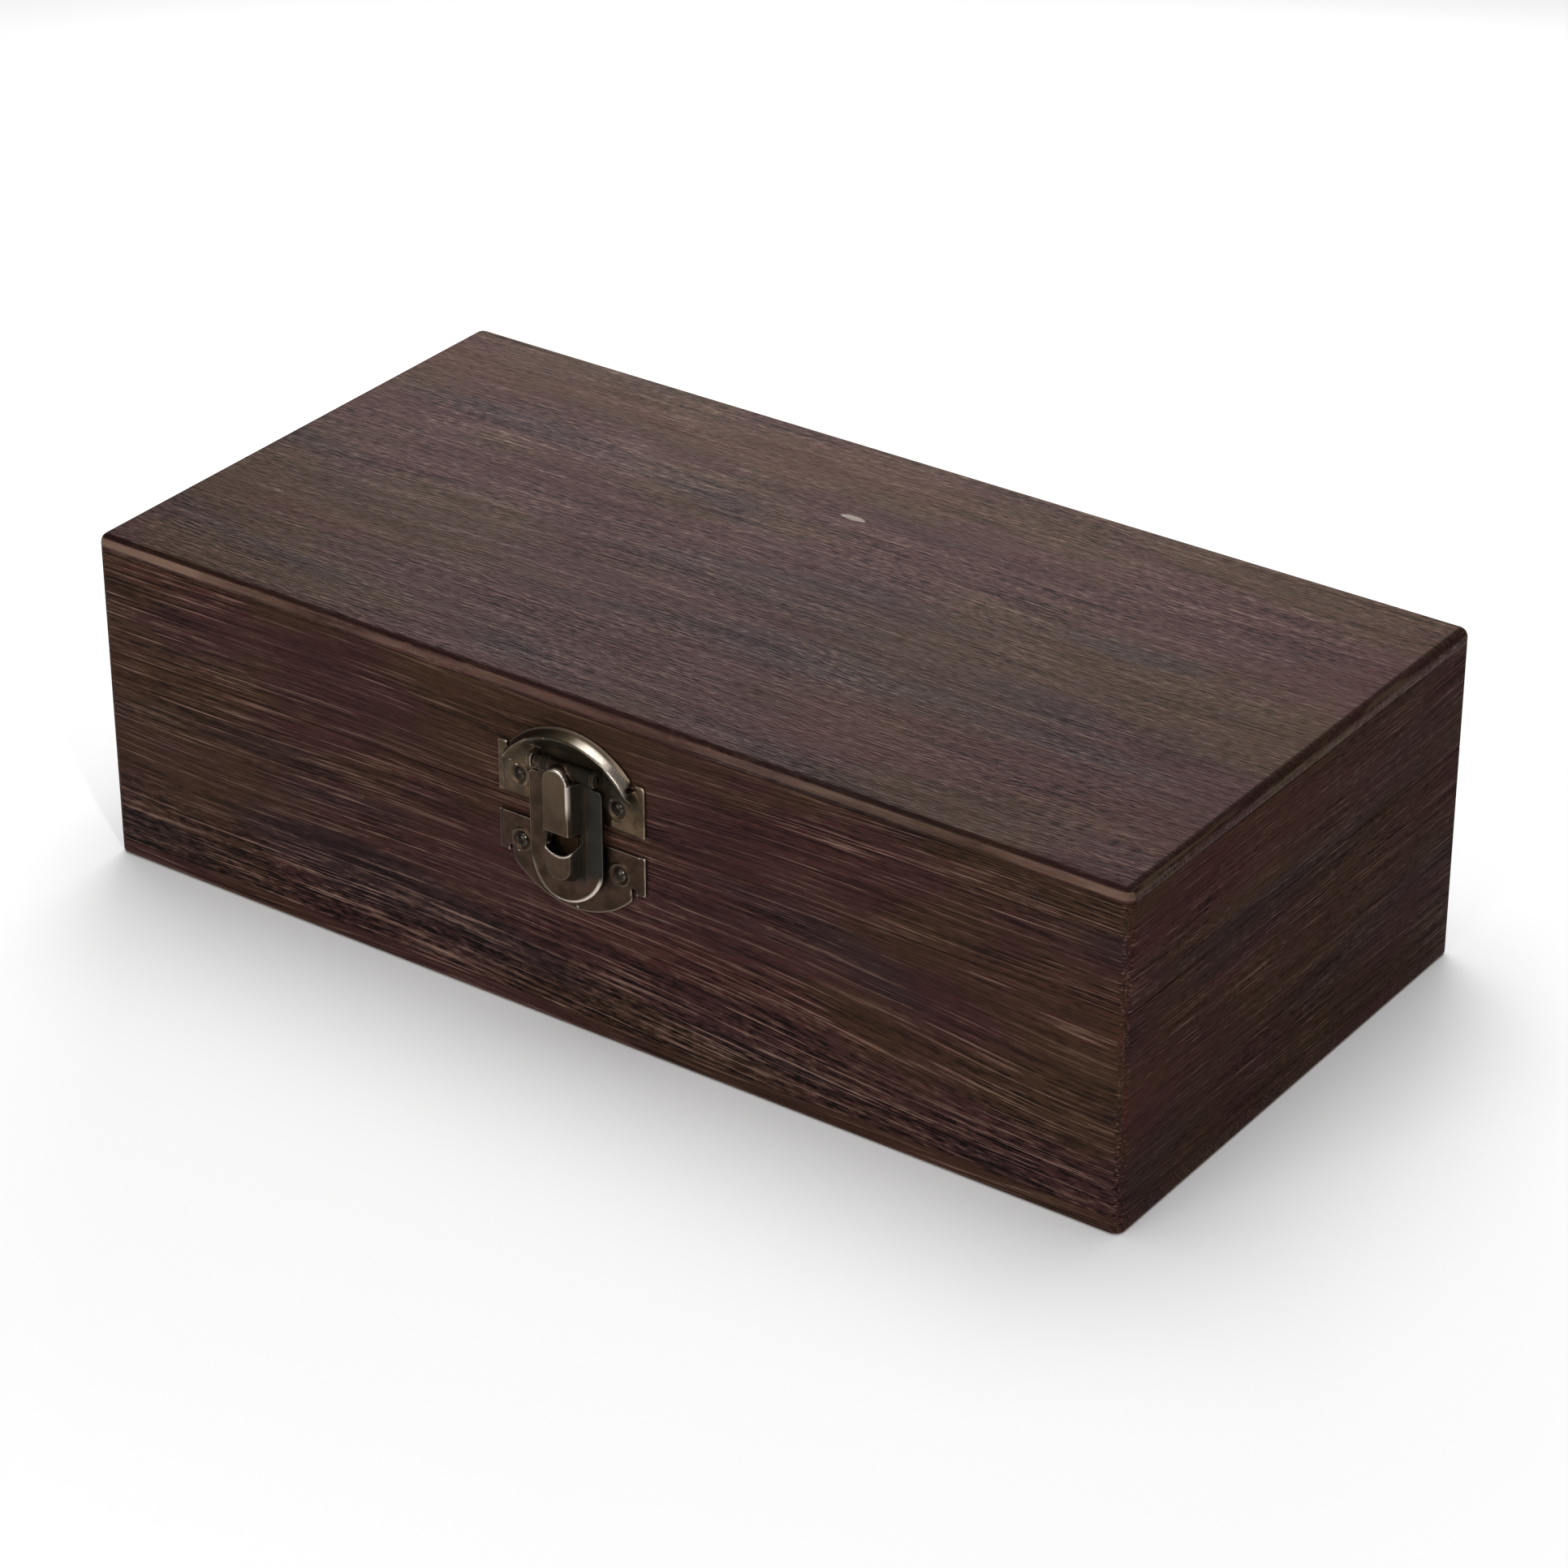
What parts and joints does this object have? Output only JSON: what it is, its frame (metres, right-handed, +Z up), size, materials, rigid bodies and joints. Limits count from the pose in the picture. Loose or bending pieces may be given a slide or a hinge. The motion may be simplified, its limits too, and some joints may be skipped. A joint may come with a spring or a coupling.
{
  "type": "tea caddy",
  "caption": "Low rectangular wooden tea caddy with a hinged lid, brushed dark grain and a rounded bronze hasp latch.",
  "frame": {"origin": "middle of the resting face, on the surface that the box stands on", "axes": "+X along the length, to the right seen from the latch side; +Y from the latch side to the hinge side; +Z up"},
  "size_m": [0.28, 0.1534, 0.084],
  "materials": {
    "burnt_wood_boards": "burnt and wire-brushed, dark purplish brown with raised lighter grain, waxed",
    "burnt_wood_panels": "burnt and wire-brushed, dark greyish brown with raised lighter grain, waxed",
    "aged_bronze_latch": "aged bronze, dark olive brown with bright worn edges",
    "aged_bronze_hinges": "aged bronze, dark olive brown with worn edges",
    "bronze_fixings": "aged bronze with polished heads",
    "bronze_pins": "aged bronze, plain"
  },
  "bodies": {
    "base": {"base_front_board": "burnt_wood_boards", "base_back_board": "burnt_wood_boards", "base_left_board": "burnt_wood_boards", "base_right_board": "burnt_wood_boards", "base_bottom_panel": "burnt_wood_panels", "latch_catch_plate": "aged_bronze_latch", "latch_base_nail_left": "bronze_fixings", "latch_base_nail_right": "bronze_fixings", "left_hinge_base_leaf": "aged_bronze_hinges", "left_hinge_pin": "bronze_pins", "left_hinge_base_screw_left": "bronze_fixings", "left_hinge_base_screw_right": "bronze_fixings", "right_hinge_base_leaf": "aged_bronze_hinges", "right_hinge_pin": "bronze_pins", "right_hinge_base_screw_left": "bronze_fixings", "right_hinge_base_screw_right": "bronze_fixings"},
    "lid": {"lid_front_board": "burnt_wood_boards", "lid_back_board": "burnt_wood_boards", "lid_left_board": "burnt_wood_boards", "lid_right_board": "burnt_wood_boards", "lid_top_panel": "burnt_wood_panels", "latch_lid_plate": "aged_bronze_latch", "hasp_pivot_pin": "bronze_pins", "latch_lid_nail_left": "bronze_fixings", "latch_lid_nail_right": "bronze_fixings", "left_hinge_lid_leaf": "aged_bronze_hinges", "left_hinge_lid_screw_left": "bronze_fixings", "left_hinge_lid_screw_right": "bronze_fixings", "right_hinge_lid_leaf": "aged_bronze_hinges", "right_hinge_lid_screw_left": "bronze_fixings", "right_hinge_lid_screw_right": "bronze_fixings"},
    "hasp": {"hasp": "aged_bronze_latch"}
  },
  "joints": [
    {"name": "lid_hinge", "type": "hinge", "parent": "base", "child": "lid", "pos_m": [0, 0.0736, 0.05415], "axis": [-1, 0, 0], "range_deg": [0, 180]},
    {"name": "hasp_pivot", "type": "hinge", "parent": "lid", "child": "hasp", "pos_m": [-0.0025, -0.0741, 0.068], "axis": [-1, 0, 0], "range_deg": [0, 100]}
  ]
}
